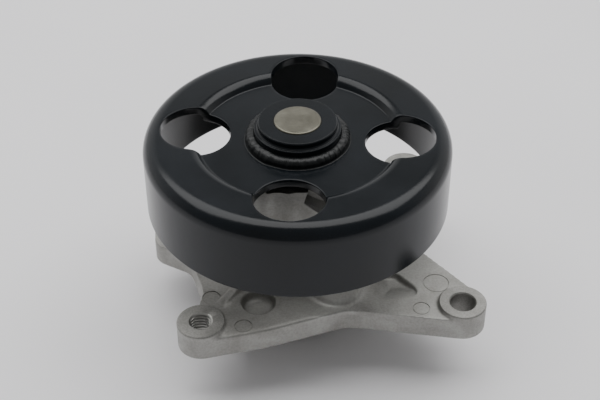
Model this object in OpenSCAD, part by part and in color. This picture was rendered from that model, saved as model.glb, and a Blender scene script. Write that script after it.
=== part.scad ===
// Engine coolant pump with a pressed steel pulley welded to its hub.
// Origin: where the shaft axis meets the housing's mounting face.
// +Z runs along the shaft towards the pulley; the two front arms point to -Y.

/* [Pulley] */
// Outside diameter of the belt face
pulley_d = 104; // [90:1:125]
// Thickness of the pressed sheet
sheet_t = 3; // [2:0.1:4]
// Width of the straight belt face
belt_w = 21.5; // [16:0.5:30]
// Outside radius of the corner between belt face and front band
corner_r = 5.45; // [4.5:0.05:8]
// Diameter of the flat web inside the raised band
web_d = 66.6; // [60:0.2:74]
// Depth of the web below the raised band
web_drop = 2.65; // [2:0.05:3.2]
// Rounding where the band steps down to the web
step_r = 4.2; // [3.6:0.1:5]
// Diameter of each lightening hole
window_d = 23.6; // [18:0.2:26]
// Pitch circle of the lightening holes
window_pcd = 69; // [64:0.5:74]
// Number of lightening holes
window_n = 4; // [3:1:5]
// Turn of the hole pattern about the shaft
window_turn = -4.2; // [-45:0.1:45]

/* [Hub and weld] */
// Diameter of the hub's nose
nose_d = 26.6; // [24:0.2:30]
// Width of the shoulder around the nose, which carries the weld
shoulder_w = 1.3; // [1:0.1:2]
// Height of the nose above the web
nose_h = 7.2; // [5:0.2:10]
// Height of the shoulder above the web
shoulder_h = 4.9; // [3.5:0.1:5]
// Length of the hub behind the web
hub_tail = 1.6; // [1:0.1:2]
// Free space between the bearing's end and the hub
hub_gap = 2.4; // [1:0.1:4]
// Width of the weld bead on the web
bead_w = 3.4; // [2.5:0.1:4.5]
// Height of the weld bead on the hub
bead_h = 3.2; // [2.5:0.1:3.4]

/* [Shaft] */
// Diameter of the shaft in bearing, hub and seal
shaft_d = 15.918; // [15.8:0.001:16.2]
// Length of shaft that stands out of the hub's nose
shaft_proud = 0.4; // [0.2:0.1:2]
// Diameter of the shaft where the impeller sits
spindle_d = 12; // [10:0.5:13]

/* [Bearing] */
// Diameter of the rollers
roller_d = 3.941; // [3.2:0.001:4.8]
// Wall of the outer ring at the roller track
ring_wall = 3; // [2.5:0.1:4]
// Length of the outer ring
ring_l = 30; // [25:0.5:36]
// Ball diameter
ball_d = 5.5; // [4.5:0.1:6.6]
// Number of balls
ball_n = 9; // [6:1:9]
// Number of rollers
roller_n = 11; // [8:1:12]

/* [Housing] */
// Thickness of the mounting plate
plate_t = 8; // [7:0.5:11]
// Height of the bolt bosses above the plate
boss_proud = 1.5; // [0.5:0.1:4]
// Diameter of the bolt bosses
boss_d = 16; // [15:0.5:19]
// Diameter of the clearance holes for the mounting bolts
bolt_hole_d = 8.5; // [6.5:0.1:9]
// Drilled diameter of the tapped hole
tap_hole_d = 6.8; // [5:0.1:8.5]
// Wall of the bearing neck
neck_wall = 5; // [4:0.5:7]
// Clearance of the impeller inside the boss behind the mounting face
spigot_clear = 1; // [0.5:0.1:2]
// Length of the boss behind the mounting face
seal_boss_l = 4; // [3:0.5:6]
// Diameter of the leak pocket in the plate
pocket_d = 11.4; // [9:0.2:12]

/* [Shaft seal] */
// Length of the pressed seal cup and its seat
seal_l = 13.2; // [12:0.1:16]
// Room between the carbon ring and the seal cup's outside
seal_room = 5.7; // [5:0.1:7]
// Thickness of the seal cup's sheet
cup_t = 0.8; // [0.6:0.1:1]
// Radial width of the carbon ring
carbon_w = 2.44; // [2:0.02:3.2]

/* [Impeller] */
// Outside diameter of the impeller
impeller_d = 52; // [48:1:60]
// Thickness of the impeller's sheet
impeller_t = 2; // [1.5:0.1:2.5]
// Height of the blades
blade_h = 8; // [6:0.5:12]
// Number of blades
blade_n = 7; // [5:1:8]

/* [Hidden] */
$fn = 96;

// Allowances
eps = 0.01;          // overlap that makes neighbouring solids of one piece join
run = 0.05;          // radial running clearance
gap = 0.4;           // free space between turning and fixed pieces

// Levels along the shaft, worked up from the mounting face at zero
chamber_h = 4.1;     // leak chamber between shaft seal and bearing
neck_rim = 0.5;      // neck that stands past the bearing's end
seal_face_z = -seal_boss_l;
seal_bore_top = seal_face_z + seal_l;
ring_bottom = seal_bore_top + chamber_h;
ring_top = ring_bottom + ring_l;
neck_h = ring_top + neck_rim;
web_under = ring_top + hub_gap + hub_tail;
web_z = web_under + sheet_t;
band_z = web_z + web_drop;
corner_z = band_z - corner_r;
rim_z = corner_z - belt_w;
nose_z = web_z + nose_h;
shaft_top = nose_z + shaft_proud;

// Rolling elements: two rows between the shaft and the outer ring
shaft_r = shaft_d / 2;
race_r = shaft_r + roller_d + 2 * run;
ball_r = ball_d / 2;
ball_path_r = (shaft_r + race_r) / 2;
groove_r = ball_r * 1.04;
end_seal_t = 2;
seal_rebate = 0.6;   // depth of the seal's seat in the outer ring
cage_rim = 1;        // cage material beyond the balls
roller_cage_rim = 2; // cage material beyond the rollers
ball_end_gap = 1.25; // free space between end seal and ball cage
roller_end_gap = 0.5;
roller_share = 0.3;  // share of the ring's length that the rollers take
ball_z = ring_bottom + end_seal_t + ball_end_gap + cage_rim + ball_r;
roller_r = roller_d / 2;
roller_l = roller_share * ring_l;
roller_z = ring_top - end_seal_t - roller_end_gap - roller_cage_rim - roller_l / 2;

// Radii used by several pieces
pulley_r = pulley_d / 2;
web_r = web_d / 2;
nose_r = nose_d / 2;
shoulder_r = nose_r + shoulder_w;
ring_r = race_r + ring_wall;
neck_r = ring_r + neck_wall;
boss_r = boss_d / 2;
boss_h = plate_t + boss_proud;
ring_ledge = 2;      // width of the ledge behind the bearing's outer ring
chamber_r = ring_r - ring_ledge;

// Shaft seal and impeller, worked down from the seal boss
seat_t = 2.6;
carbon_t = 3.2;
holder_t = 0.6;
sleeve_t = 0.7;
boot_t = 1.4;
seat_recess = 0.9;   // seat ring's face inside the seal face
cup_end_gap = 0.2;   // space above the cup in its bore
bush_nose = 1.7;     // bush that stands past the impeller's disc
bush_wall = 4;
slinger_gap = 1;
carbon_clear = 1.4;  // carbon ring's clearance round the sleeve
seat_margin = 0.6;   // seat ring that shows round the carbon ring
seat_clear = 1;      // seat ring's clearance round the sleeve
seat_z = seal_face_z + seat_recess;
carbon_z = seat_z + seat_t + run;
holder_top = carbon_z + carbon_t + holder_t;
cup_top = seal_bore_top - cup_end_gap;
cup_floor = cup_top - cup_t;
flange_z = seat_z - boot_t - sleeve_t;
spindle_z = flange_z - gap;
disc_z = spindle_z - bush_nose;
impeller_low = disc_z - impeller_t - blade_h;
sleeve_r = shaft_r + sleeve_t;
carbon_bore_r = sleeve_r + carbon_clear;
face_r = carbon_bore_r + carbon_w;
seat_r = face_r + seat_margin;
seat_bore_r = sleeve_r + seat_clear;
cup_r = face_r + seal_room;
seal_boss_r = impeller_d / 2 + spigot_clear;
bush_r = spindle_d / 2 + bush_wall;
slinger_z = seal_bore_top + slinger_gap;

// Bolt bosses: place in the plate and bore of each one
left_boss = [-32, -45.5];
right_boss = [54.9, -36.8];
back_boss = [40.6, 37.9];
side_boss = [-43.8, 9];
clearance_bosses = [right_boss, back_boss, side_boss];
leak_pocket = [-13.3, -34.9];
leak_pocket_floor = 4;
leak_hole_d = 3.6;

// Stepped right edge that the neck's front pad and the relief beside it share
pad_step_x = 2.1;
pad_step_h = 4.4;
pad_step_w = 1.9;

// Gussets around the neck: direction, reach, rise above the plate at the neck and at the end, thickness
gussets = [
    [-125.5, 45.7, 16, 1, 3],
    [-20, 38, 16, 2, 4],
    [43, 46, 16, 2, 4],
    [170, 38, 16, 2, 4]
];

// Points of an arc, from angle a0 to angle a1
function arc(c, r, a0, a1, n = 12) =
    [for (i = [0:n]) let (a = a0 + (a1 - a0) * i / n) c + r * [cos(a), sin(a)]];

// One corner of an outline, rounded with radius r between its neighbours
function corner(before, at, after, r, n = 8) =
    let (
        u = (before - at) / norm(before - at),
        v = (after - at) / norm(after - at),
        half = acos(min(1, max(-1, u * v))) / 2,
        reach = r / tan(half),
        centre = at + (u + v) / norm(u + v) * r / sin(half),
        first = at + u * reach - centre,
        last = at + v * reach - centre,
        a0 = atan2(first[1], first[0]),
        turn = atan2(last[1], last[0]) - a0,
        sweep = turn > 180 ? turn - 360 : turn < -180 ? turn + 360 : turn
    )
    r <= 0 ? [at] : arc(centre, r, a0, a0 + sweep, n);

// Outline whose points are [x, y, rounding]
function rounded(points) = [
    for (i = [0:len(points) - 1])
        let (
            n = len(points),
            p = points[i],
            q = points[(i + n - 1) % n],
            s = points[(i + 1) % n]
        )
        each corner([q[0], q[1]], [p[0], p[1]], [s[0], s[1]], p[2])
];

// Ring of rectangular section
module ring(r_in, r_out, z0, z1) {
    rotate_extrude()
        translate([r_in, z0])
            square([r_out - r_in, z1 - z0]);
}

// Plan of the mounting plate: arms run tangent into the bolt bosses
module plate_plan() {
    polygon(rounded([
        [left_boss[0] + 1.9, left_boss[1] - 7.78, 0],
        [-10, -48.4, 70],
        [16.5, -39, 9],
        [right_boss[0] - 1.1, right_boss[1] - 7.92, 0],
        [right_boss[0] + 6.2, right_boss[1] + 5.1, 0],
        [36, -0.5, 30],
        [37, 16, 14],
        [back_boss[0] + 7.9, back_boss[1] - 1.3, 0],
        [back_boss[0] - 7.9, back_boss[1] - 1.2, 0],
        [21, 29, 12],
        [0, 38, 36],
        [-24, 27, 12],
        [side_boss[0] - 1, side_boss[1] + 7.93, 0],
        [side_boss[0] - 7.98, side_boss[1] - 0.5, 0],
        [-50.6, -5.5, 6.5],
        [-37.6, -12.6, 6],
        [-32, -30, 12],
        [left_boss[0] - 1.5, left_boss[1] + 7.8, 0]
    ]));
    circle(r = 35.5);
    for (b = concat([left_boss], clearance_bosses))
        translate(b)
            circle(r = boss_r);
}

// Bearing neck with a rounded foot on the plate
module neck() {
    foot_r = 5;
    rotate_extrude()
        polygon(concat(
            [[0, -eps], [neck_r + foot_r + 2, -eps], [neck_r + foot_r + 2, plate_t - eps]],
            arc([neck_r + foot_r, plate_t + foot_r], foot_r, 270, 180),
            [[neck_r, neck_h - 1], [neck_r - 1, neck_h], [0, neck_h]]
        ));
}

// Upright gusset that leans from the neck down to the plate
module gusset(angle, reach, neck_rise, end_rise, width) {
    top = plate_t + neck_rise;
    end_top = plate_t + end_rise;
    rotate([90, 0, angle])
        translate([0, 0, -width / 2])
            linear_extrude(width)
                polygon(rounded([
                    [neck_r - 3, plate_t - 1, 0],
                    [neck_r - 3, top, 0],
                    [neck_r + 1.5, top, 1.5],
                    [neck_r + 4, end_top + 3, 6],
                    [reach - 1, end_top, 1.2],
                    [reach, plate_t - 1, 0]
                ]));
}

// Broad rounded foot that carries the neck into the notch between the arms
module front_foot() {
    lean = 24;
    foot_h = 24;
    rotate(-66)
        translate([neck_r + 11.3, 0, plate_t - 4])
            rotate([0, -lean, 0])
                cylinder(h = foot_h, r1 = 9.5, r2 = 5);
}

// Upright pad on the front of the neck, with two soft flutes and a stepped right edge
module front_pad() {
    face_y = neck_r + 1.2;
    pad_depth = 9;
    flute_r = 4;
    left_x = -16;
    right_x = pad_step_x + pad_step_w;
    step_z = neck_h - pad_step_h;
    foot_x = 12;
    translate([0, pad_depth - face_y, 0])
        rotate([90, 0, 0])
            linear_extrude(pad_depth)
                polygon([
                    [left_x, plate_t - 1],
                    [foot_x, plate_t - 1],
                    [foot_x, step_z - 8.4],
                    [pad_step_x, step_z],
                    [right_x, neck_h],
                    [left_x, neck_h]
                ]);
    for (x = [-10, -3])
        translate([x, flute_r - face_y - 0.6, plate_t - 1])
            cylinder(h = neck_h - plate_t + 1, r = flute_r);
}

// Relief beside the pad, cut flat into the right of the neck's front
module neck_relief() {
    floor_y = ring_r + 1.3;
    slope_h = 15;
    translate([0, -floor_y, 0])
        rotate([90, 0, 0])
            linear_extrude(neck_r)
                polygon([
                    [pad_step_x, neck_h - pad_step_h],
                    [pad_step_x + pad_step_w, neck_h + 1],
                    [neck_r, neck_h + 1],
                    [neck_r, neck_h - pad_step_h - slope_h]
                ]);
}

// Shallow pockets cast in the plate's front and back
module cast_pockets() {
    front_depth = 2;
    back_depth = 3.5;
    front_pocket = [[22, -22, 3], [33.5, -20.5, 4], [42.5, -32.5, 3], [27, -35, 4]];
    back_pockets = [
        [[26, -24, 3], [42, -23, 3], [47.5, -33, 3], [22, -34.5, 3]],
        [[-25, -22, 2.5], [-22, -32, 2.5], [-28, -37, 2.5], [-31, -24, 2.5]],
        [[29, 21, 2], [37, 24, 2], [40, 29.5, 2], [32, 29.5, 2]]
    ];
    translate([0, 0, plate_t - front_depth])
        linear_extrude(front_depth + 1)
            polygon(rounded(front_pocket));
    for (back_pocket = back_pockets)
        translate([0, 0, -eps])
            linear_extrude(back_depth)
                polygon(rounded(back_pocket));
}

// Bearing seat, leak chamber and seal seat on the shaft axis
module shaft_bores() {
    flange_room = 1.5;
    translate([0, 0, ring_bottom])
        cylinder(h = neck_h, r = ring_r);
    translate([0, 0, seal_face_z - 1])
        cylinder(h = ring_bottom - seal_face_z + 2, r = chamber_r);
    translate([0, 0, seal_face_z - 1])
        cylinder(h = seal_bore_top - seal_face_z + 1, r = cup_r);
    translate([0, 0, seal_face_z - 1])
        cylinder(h = 1 + cup_t, r = cup_r + flange_room);
}

// Leak hole from the chamber, and the open pocket that catches the drops
module leak_drain() {
    translate([0, 0, (seal_bore_top + ring_bottom) / 2])
        rotate([0, 90, atan2(leak_pocket[1], leak_pocket[0])])
            cylinder(h = norm(leak_pocket), d = leak_hole_d);
    translate([leak_pocket[0], leak_pocket[1], leak_pocket_floor])
        cylinder(h = neck_h, d = pocket_d);
}

module bolt_holes() {
    for (b = clearance_bosses)
        translate([b[0], b[1], -1])
            cylinder(h = boss_h + 2, d = bolt_hole_d);
    translate([left_boss[0], left_boss[1], -1])
        cylinder(h = boss_h + 2, d = tap_hole_d);
}

module housing() {
    color("#8d8f8b")
    difference() {
        union() {
            linear_extrude(plate_t)
                plate_plan();
            for (b = concat([left_boss], clearance_bosses))
                translate(b)
                    cylinder(h = boss_h, r = boss_r);
            neck();
            front_foot();
            front_pad();
            for (g = gussets)
                gusset(g[0], g[1], g[2], g[3], g[4]);
            translate([0, 0, -seal_boss_l])
                cylinder(h = seal_boss_l + plate_t, r = seal_boss_r);
        }
        shaft_bores();
        leak_drain();
        bolt_holes();
        neck_relief();
        cast_pockets();
    }
}

// Outer ring of the shaft bearing, with a ball groove and a plain roller track
module bearing_outer_ring() {
    color("#9a9c9c")
    rotate_extrude()
        difference() {
            translate([race_r, ring_bottom])
                square([ring_wall, ring_l]);
            translate([ball_path_r, ball_z])
                circle(r = groove_r);
            for (z = [ring_bottom - eps, ring_top - end_seal_t + eps])
                translate([race_r - 1, z])
                    square([1 + seal_rebate, end_seal_t]);
        }
}

module bearing_balls() {
    color("#c4c6c6")
    for (i = [0:ball_n - 1])
        rotate(i * 360 / ball_n)
            translate([ball_path_r, 0, ball_z])
                sphere(r = ball_r);
}

// Ball cage: a ring pierced by one pocket for each ball
module ball_cage() {
    half_w = 0.9;
    half_l = ball_r + cage_rim;
    color("#5a4a32")
    difference() {
        ring(ball_path_r - half_w, ball_path_r + half_w, ball_z - half_l, ball_z + half_l);
        for (i = [0:ball_n - 1])
            rotate([0, 90, i * 360 / ball_n])
                translate([-ball_z, 0, 0])
                    cylinder(h = race_r, r = ball_r + run);
    }
}

module bearing_rollers() {
    color("#c4c6c6")
    for (i = [0:roller_n - 1])
        rotate(i * 360 / roller_n)
            translate([ball_path_r, 0, roller_z - roller_l / 2])
                cylinder(h = roller_l, r = roller_r);
}

// Roller cage: a ring pierced by one slot for each roller
module roller_cage() {
    slot_r = roller_r + run;
    half_w = 0.8;
    half_l = roller_l / 2 + roller_cage_rim;
    color("#5a4a32")
    difference() {
        ring(ball_path_r - half_w, ball_path_r + half_w, roller_z - half_l, roller_z + half_l);
        for (i = [0:roller_n - 1])
            rotate(i * 360 / roller_n)
                translate([ball_path_r, 0, roller_z - roller_l / 2 - run])
                    cylinder(h = roller_l + 2 * run, r = slot_r);
    }
}

// Lip seal at one end of the bearing
module end_seal(z0) {
    ring(shaft_r + run, race_r + seal_rebate, z0, z0 + end_seal_t - run);
}

module front_bearing_seal() {
    color("#222426")
        end_seal(ring_top - end_seal_t);
}

module rear_bearing_seal() {
    color("#222426")
        end_seal(ring_bottom + run);
}

// Stepped shaft: its surface is also the bearing's inner track
module pump_shaft() {
    end_z = impeller_low + 1;
    lead_in = 0.8;
    edge = 0.4;
    color("#7b776b")
    difference() {
        rotate_extrude()
            polygon([
                [0, end_z],
                [spindle_d / 2 - lead_in, end_z],
                [spindle_d / 2, end_z + lead_in],
                [spindle_d / 2, spindle_z],
                [shaft_r, spindle_z],
                [shaft_r, shaft_top - edge],
                [shaft_r - edge, shaft_top],
                [0, shaft_top]
            ]);
        rotate_extrude()
            translate([ball_path_r, ball_z])
                circle(r = groove_r);
    }
}

// Turned hub: nose in front, shoulder for the weld, short tail behind the web
module pulley_hub() {
    chamfer = 0.8;
    edge = 0.3;
    color("#26292c")
    rotate_extrude()
        polygon([
            [shaft_r, web_under - hub_tail],
            [shoulder_r - chamfer, web_under - hub_tail],
            [shoulder_r, web_under - hub_tail + chamfer],
            [shoulder_r, web_z + shoulder_h - edge],
            [shoulder_r - edge, web_z + shoulder_h],
            [nose_r, web_z + shoulder_h],
            [nose_r, nose_z - chamfer],
            [nose_r - chamfer, nose_z],
            [shaft_r, nose_z]
        ]);
}

// Fillet weld between web and hub
module hub_weld() {
    bow = [for (a = [0:9:90]) [shoulder_r + bead_w * cos(a), web_z + bead_h * sin(a)]];
    color("#1d1f21")
    rotate_extrude()
        polygon(concat([[shoulder_r, web_z]], bow));
}

// Pressed cup: belt face, rounded corner, raised band and flat web
module pulley() {
    step_c = [web_r + sqrt(step_r * step_r - pow(step_r - web_drop, 2)), band_z - step_r];
    outer = concat(
        [[pulley_r, rim_z]],
        arc([pulley_r - corner_r, corner_z], corner_r, 0, 90),
        arc(step_c, step_r, 90, 180 - asin((step_r - web_drop) / step_r)),
        [[shoulder_r, web_z]]
    );
    inner = concat(
        [[shoulder_r, web_under], [step_c[0] - step_r + sheet_t, web_under]],
        arc(step_c, step_r - sheet_t, 180, 90, 6),
        arc([pulley_r - corner_r, corner_z], corner_r - sheet_t, 90, 0),
        [[pulley_r - sheet_t, rim_z]]
    );
    color("#2b2f33")
    difference() {
        rotate_extrude()
            polygon(concat(outer, inner));
        for (i = [0:window_n - 1])
            rotate(window_turn + i * 360 / window_n)
                translate([window_pcd / 2, 0, web_under - 5])
                    cylinder(h = sheet_t + web_drop + 10, d = window_d);
    }
}

// Thrower disc that keeps leaked coolant away from the bearing
module slinger() {
    collar = 0.9;
    disc_t = 0.8;
    disc_under = slinger_z + 1.2;
    disc_top = disc_under + disc_t;
    color("#8f8b80")
    rotate_extrude()
        polygon([
            [shaft_r, slinger_z],
            [shaft_r + collar, slinger_z],
            [shaft_r + collar, disc_under],
            [chamber_r - 1, disc_under],
            [chamber_r - 1, disc_top],
            [shaft_r, disc_top]
        ]);
}

// Pressed cup that holds the fixed half of the seal
module seal_cup() {
    flange = 1.3;
    hole_r = seat_bore_r;
    color("#b08d57")
    rotate_extrude()
        polygon([
            [cup_r + flange, seal_face_z],
            [cup_r + flange, seal_face_z + cup_t],
            [cup_r, seal_face_z + cup_t],
            [cup_r, cup_top],
            [hole_r, cup_top],
            [hole_r, cup_floor],
            [cup_r - cup_t, cup_floor],
            [cup_r - cup_t, seal_face_z]
        ]);
}

// Coil spring between the bellows' collar and the holder
spring_wire = 0.9;
spring_room = 3.2;
spring_r = cup_r - cup_t - spring_room;
collar_t = 1;
spring_low = holder_top + spring_wire / 2 + 0.1;
spring_rise = cup_floor - collar_t - 0.1 - spring_wire / 2 - spring_low;

// Rubber bellows with one fold and a collar against the cup's floor
module seal_bellows() {
    bore_r = sleeve_r + 1.2;
    skin_r = sleeve_r + 2.4;
    lip_r = face_r + 0.6;
    collar_r = cup_r - cup_t - 2.6;
    color("#1f2122")
    rotate_extrude()
        polygon([
            [bore_r, cup_floor],
            [bore_r, holder_top + 1.5],
            [bore_r + 0.6, holder_top],
            [lip_r, holder_top],
            [lip_r, holder_top + 1],
            [skin_r + 0.6, holder_top + 1],
            [skin_r, holder_top + 1.8],
            [skin_r, cup_floor - collar_t],
            [collar_r, cup_floor - collar_t],
            [collar_r, cup_floor]
        ]);
}

// Coil spring around the bellows, swept as one closed tube
module seal_spring() {
    sides = 8;
    per_turn = 24;
    pitch = 1.2 * spring_wire;
    rings = floor(spring_rise / pitch * per_turn);
    points = [
        for (i = [0:rings]) let (a = 360 * i / per_turn)
            for (j = [0:sides - 1]) let (b = 360 * j / sides, r = spring_r + spring_wire / 2 * cos(b))
                [r * cos(a), r * sin(a), spring_low + spring_rise * i / rings + spring_wire / 2 * sin(b)]
    ];
    walls = [
        for (i = [0:rings - 1]) for (j = [0:sides - 1])
            let (k = (j + 1) % sides, p = i * sides)
            [p + j, p + sides + j, p + sides + k, p + k]
    ];
    start = [for (j = [0:sides - 1]) j];
    end = [for (j = [sides - 1:-1:0]) rings * sides + j];
    color("#a9abab")
        polyhedron(points, concat([start], walls, [end]));
}

// Pressed holder that joins carbon ring, bellows and spring
module carbon_ring_holder() {
    inner = face_r + run;
    skirt_z = carbon_z + 1.4;
    hole_r = sleeve_r + 1.8;
    color("#b08d57")
    rotate_extrude()
        polygon([
            [inner, skirt_z],
            [inner + holder_t, skirt_z],
            [inner + holder_t, holder_top],
            [hole_r, holder_top],
            [hole_r, holder_top - holder_t],
            [inner, holder_top - holder_t]
        ]);
}

// Carbon ring: its narrow nose runs on the seat ring
module carbon_ring() {
    nose_w = carbon_w / 2;
    nose_l = 1;
    color("#2a2b2d")
    rotate_extrude()
        polygon([
            [carbon_bore_r, carbon_z],
            [face_r - nose_w, carbon_z],
            [face_r - nose_w, carbon_z + nose_l],
            [face_r, carbon_z + nose_l],
            [face_r, carbon_z + carbon_t],
            [carbon_bore_r, carbon_z + carbon_t]
        ]);
}

module seat_ring() {
    color("#3b3d40")
        ring(seat_bore_r, seat_r, seat_z, seat_z + seat_t);
}

// Rubber boot that cushions the seat ring in the sleeve's flange
module seat_boot() {
    lip_z = seat_z + seat_t - 1;
    color("#1f2122")
    rotate_extrude()
        polygon([
            [sleeve_r, seat_z - boot_t],
            [seat_r + boot_t, seat_z - boot_t],
            [seat_r + boot_t, lip_z],
            [seat_r, lip_z],
            [seat_r, seat_z],
            [seat_bore_r, seat_z],
            [seat_bore_r, lip_z],
            [sleeve_r, lip_z]
        ]);
}

// Flanged sleeve pressed on the shaft; it drives the turning half of the seal
module seal_sleeve() {
    outer = seat_r + boot_t;
    skirt_z = seat_z + 0.8;
    end_z = cup_floor + 0.5;
    color("#a7a9a8")
    rotate_extrude()
        polygon([
            [shaft_r, end_z],
            [shaft_r, flange_z],
            [outer + sleeve_t, flange_z],
            [outer + sleeve_t, skirt_z],
            [outer, skirt_z],
            [outer, flange_z + sleeve_t],
            [sleeve_r, flange_z + sleeve_t],
            [sleeve_r, end_z]
        ]);
}

// Flat land around the bush, between it and the blades
hub_land = 5;

// Plan of one blade: a band of even thickness along an arc
module blade_plan() {
    inner = bush_r + hub_land;
    outer = impeller_d / 2 - 0.5;
    bend = 26;
    intersection() {
        difference() {
            translate([inner, -bend])
                circle(r = bend + impeller_t / 2);
            translate([inner, -bend])
                circle(r = bend - impeller_t / 2);
        }
        translate([inner, -outer])
            square([outer, outer + bend]);
        circle(r = outer);
    }
}

// Pressed impeller: a disc with curved blades turned down towards the engine
module impeller() {
    balance_hole_d = 4;
    color("#9b9890")
    difference() {
        union() {
            translate([0, 0, disc_z - impeller_t])
                cylinder(h = impeller_t, d = impeller_d);
            for (i = [0:blade_n - 1])
                rotate(i * 360 / blade_n)
                    translate([0, 0, impeller_low])
                        linear_extrude(blade_h + eps)
                            blade_plan();
        }
        translate([0, 0, impeller_low - 1])
            cylinder(h = blade_h + impeller_t + 2, r = bush_r);
        for (i = [0:blade_n - 1])
            rotate((i + 0.5) * 360 / blade_n)
                translate([bush_r + hub_land, 0, disc_z - impeller_t - 1])
                    cylinder(h = impeller_t + 2, d = balance_hole_d);
    }
}

module impeller_bush() {
    color("#8a8780")
        ring(spindle_d / 2, bush_r, impeller_low + 2, spindle_z);
}

housing();
bearing_outer_ring();
bearing_balls();
ball_cage();
bearing_rollers();
roller_cage();
front_bearing_seal();
rear_bearing_seal();
pump_shaft();
pulley_hub();
hub_weld();
pulley();
slinger();
seal_cup();
seal_bellows();
seal_spring();
carbon_ring_holder();
carbon_ring();
seat_ring();
seat_boot();
seal_sleeve();
impeller();
impeller_bush();
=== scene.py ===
"""Engine coolant pump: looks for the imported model.

Pulley, hub, weld, shaft, cast housing, bearing ring, lip seals, face seal, thrower disc and impeller
are made here as finished pieces. Balls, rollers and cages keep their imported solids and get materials.
"""
import bpy
import bmesh
import math
from mathutils import Matrix, Vector
from mathutils.geometry import delaunay_2d_cdt


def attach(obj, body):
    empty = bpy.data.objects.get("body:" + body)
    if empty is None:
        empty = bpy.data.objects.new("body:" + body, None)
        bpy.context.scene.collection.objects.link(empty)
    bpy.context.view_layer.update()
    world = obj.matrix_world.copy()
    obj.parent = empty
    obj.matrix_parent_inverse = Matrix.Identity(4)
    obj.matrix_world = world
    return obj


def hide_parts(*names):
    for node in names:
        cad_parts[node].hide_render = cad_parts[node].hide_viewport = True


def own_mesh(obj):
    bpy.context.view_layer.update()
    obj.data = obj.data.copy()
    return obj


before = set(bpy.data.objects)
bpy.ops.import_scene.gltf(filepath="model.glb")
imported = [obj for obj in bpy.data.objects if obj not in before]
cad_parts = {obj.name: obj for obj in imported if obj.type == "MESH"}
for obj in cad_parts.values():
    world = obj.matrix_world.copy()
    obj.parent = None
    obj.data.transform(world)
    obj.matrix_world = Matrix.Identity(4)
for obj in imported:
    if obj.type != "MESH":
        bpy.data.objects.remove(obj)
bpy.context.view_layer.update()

MM = 0.001

# ---------------------------------------------------------------- sizes in millimetres
PULLEY_R = 52.0
SHEET = 3.0
RIM_Z = 26.0
CORNER_R = 5.45
INNER_CORNER_R = CORNER_R - SHEET
CORNER_Z = 47.5
BAND_Z = CORNER_Z + CORNER_R
WEB_R = 33.3
WEB_Z = 50.3
WEB_UNDER = WEB_Z - SHEET
STEP_R = 4.2
STEP_C = (WEB_R + math.sqrt(STEP_R ** 2 - (STEP_R - (BAND_Z - WEB_Z)) ** 2), BAND_Z - STEP_R)
WINDOW_R = 11.8
WINDOW_PCD_R = 34.5
WINDOW_TURN = -4.2
WINDOWS = 4
CUT_EDGE = 0.35
FRONT_EDGE_R = 50.0  # where the pressed front hands over to the wall, outside and inside
BACK_EDGE_R = 47.5

SHAFT_R = 7.959
SHOULDER_R = 14.6
NOSE_R = 13.3
NOSE_Z = WEB_Z + 7.2
SHOULDER_Z = WEB_Z + 4.9
SHAFT_TOP = NOSE_Z + 0.4
HUB_BACK_Z = WEB_UNDER - 1.6

PLATE_T = 8.0
BOSS_Z = 9.5
BOSS_R = 8.0
LEFT_BOSS = (-32.0, -45.5)
PLAIN_BOSSES = ((54.9, -36.8), (40.6, 37.9), (-43.8, 9.0))
BOLT_HOLE_R = 4.25
TAP_MINOR_R = 3.4
TAP_MAJOR_R = 4.1
TAP_PITCH = 1.25
LEAK_HOLE_R = 1.8
NECK_R = 20.0
NECK_Z = 43.8
SEAL_BOSS_R = 27.0
SEAL_FACE_Z = -4.0
SEAL_BORE_TOP = 9.2
CHAMBER_R = 13.0
RING_BOTTOM = 13.3
RING_TOP = 43.3
RACE_R = 12.0
REBATE_R = RACE_R + 0.6
RING_R = 15.0
LEAK_POCKET = (-13.3, -34.9)
# ejector pin marks on the plate: x, y, radius and depth of the disc inside the witness line
EJECTOR_MARKS = (
    (-29.2, -32.6, 3.05, 0.2), (-18.0, -46.3, 2.95, 0.1), (41.1, -38.3, 2.9, 0.05), (47.0, -26.0, 4.4, 0.05)
)
# front recess: its corners in order, then each side its floor runs out to and over what length
RECESS = ((22.0, -22.0), (33.5, -20.5), (42.5, -32.5), (27.0, -35.0))
RUN_OUT = (((44.5, -32.2), (27.0, -35.0), 8.5), ((27.0, -35.0), (22.0, -22.0), 8.0))
# soft raised lip along the recess's right side: its two ends and its radius
RECESS_LIP = ((35.6, -21.5, 6.9), (43.6, -31.2, 6.9), 1.5)

CUP_R = 18.2
CUP_T = 0.8
CUP_TOP = SEAL_BORE_TOP - 0.2
CUP_FLOOR = CUP_TOP - CUP_T
SLEEVE_R = SHAFT_R + 0.7
SEAT_Z = -3.1
SEAT_T = 2.6
CARBON_Z = SEAT_Z + SEAT_T + 0.05
CARBON_T = 3.2
FACE_R = 12.5
SEAT_R = 13.1
HOLDER_TOP = CARBON_Z + CARBON_T + 0.6
FLANGE_Z = -5.2
SPINDLE_R = 6.0
SPINDLE_Z = -5.6
BUSH_R = 10.0
IMPELLER_LOW = -17.3
FLOOR_Z = IMPELLER_LOW - 0.03  # a hair below the blades, so that the two don't flicker into each other


# ---------------------------------------------------------------- materials
WAVES_PER_LINE = 3.1415  # a wave pattern repeats about three times in its own scale length


def paint(code):
    """sRGB hex to linear red, green, blue and full opacity."""
    parts = [int(code[i:i + 2], 16) / 255 for i in (1, 3, 5)]
    return tuple(c / 12.92 if c <= 0.04045 else ((c + 0.055) / 1.055) ** 2.4 for c in parts) + (1.0,)


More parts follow.
